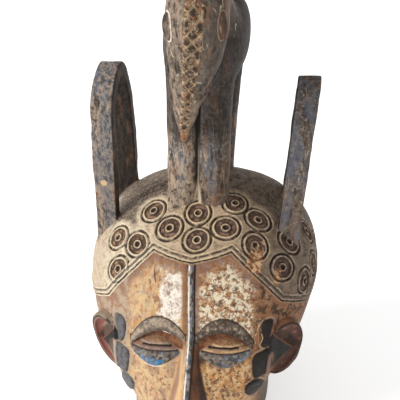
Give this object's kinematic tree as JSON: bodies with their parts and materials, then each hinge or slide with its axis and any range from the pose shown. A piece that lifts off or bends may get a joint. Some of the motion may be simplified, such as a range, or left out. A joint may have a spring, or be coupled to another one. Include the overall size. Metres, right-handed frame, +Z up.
{
  "type": "helmet mask",
  "caption": "Carved wooden helmet mask: hollow head with a long face, a band of concentric circles, two side loops and a four-legged animal on the crown.",
  "frame": {"origin": "middle of the mask's box, on the plane that the rim rests on", "axes": "+Z up through the crest, -Y the way the face looks, +X to the right of someone who faces the mask"},
  "size_m": [0.2452, 0.2873, 0.5442],
  "materials": {
    "carved_wood": "worn paint and kaolin over dark patina"
  },
  "bodies": {
    "root": {"helmet_mask": "carved_wood"}
  },
  "joints": []
}
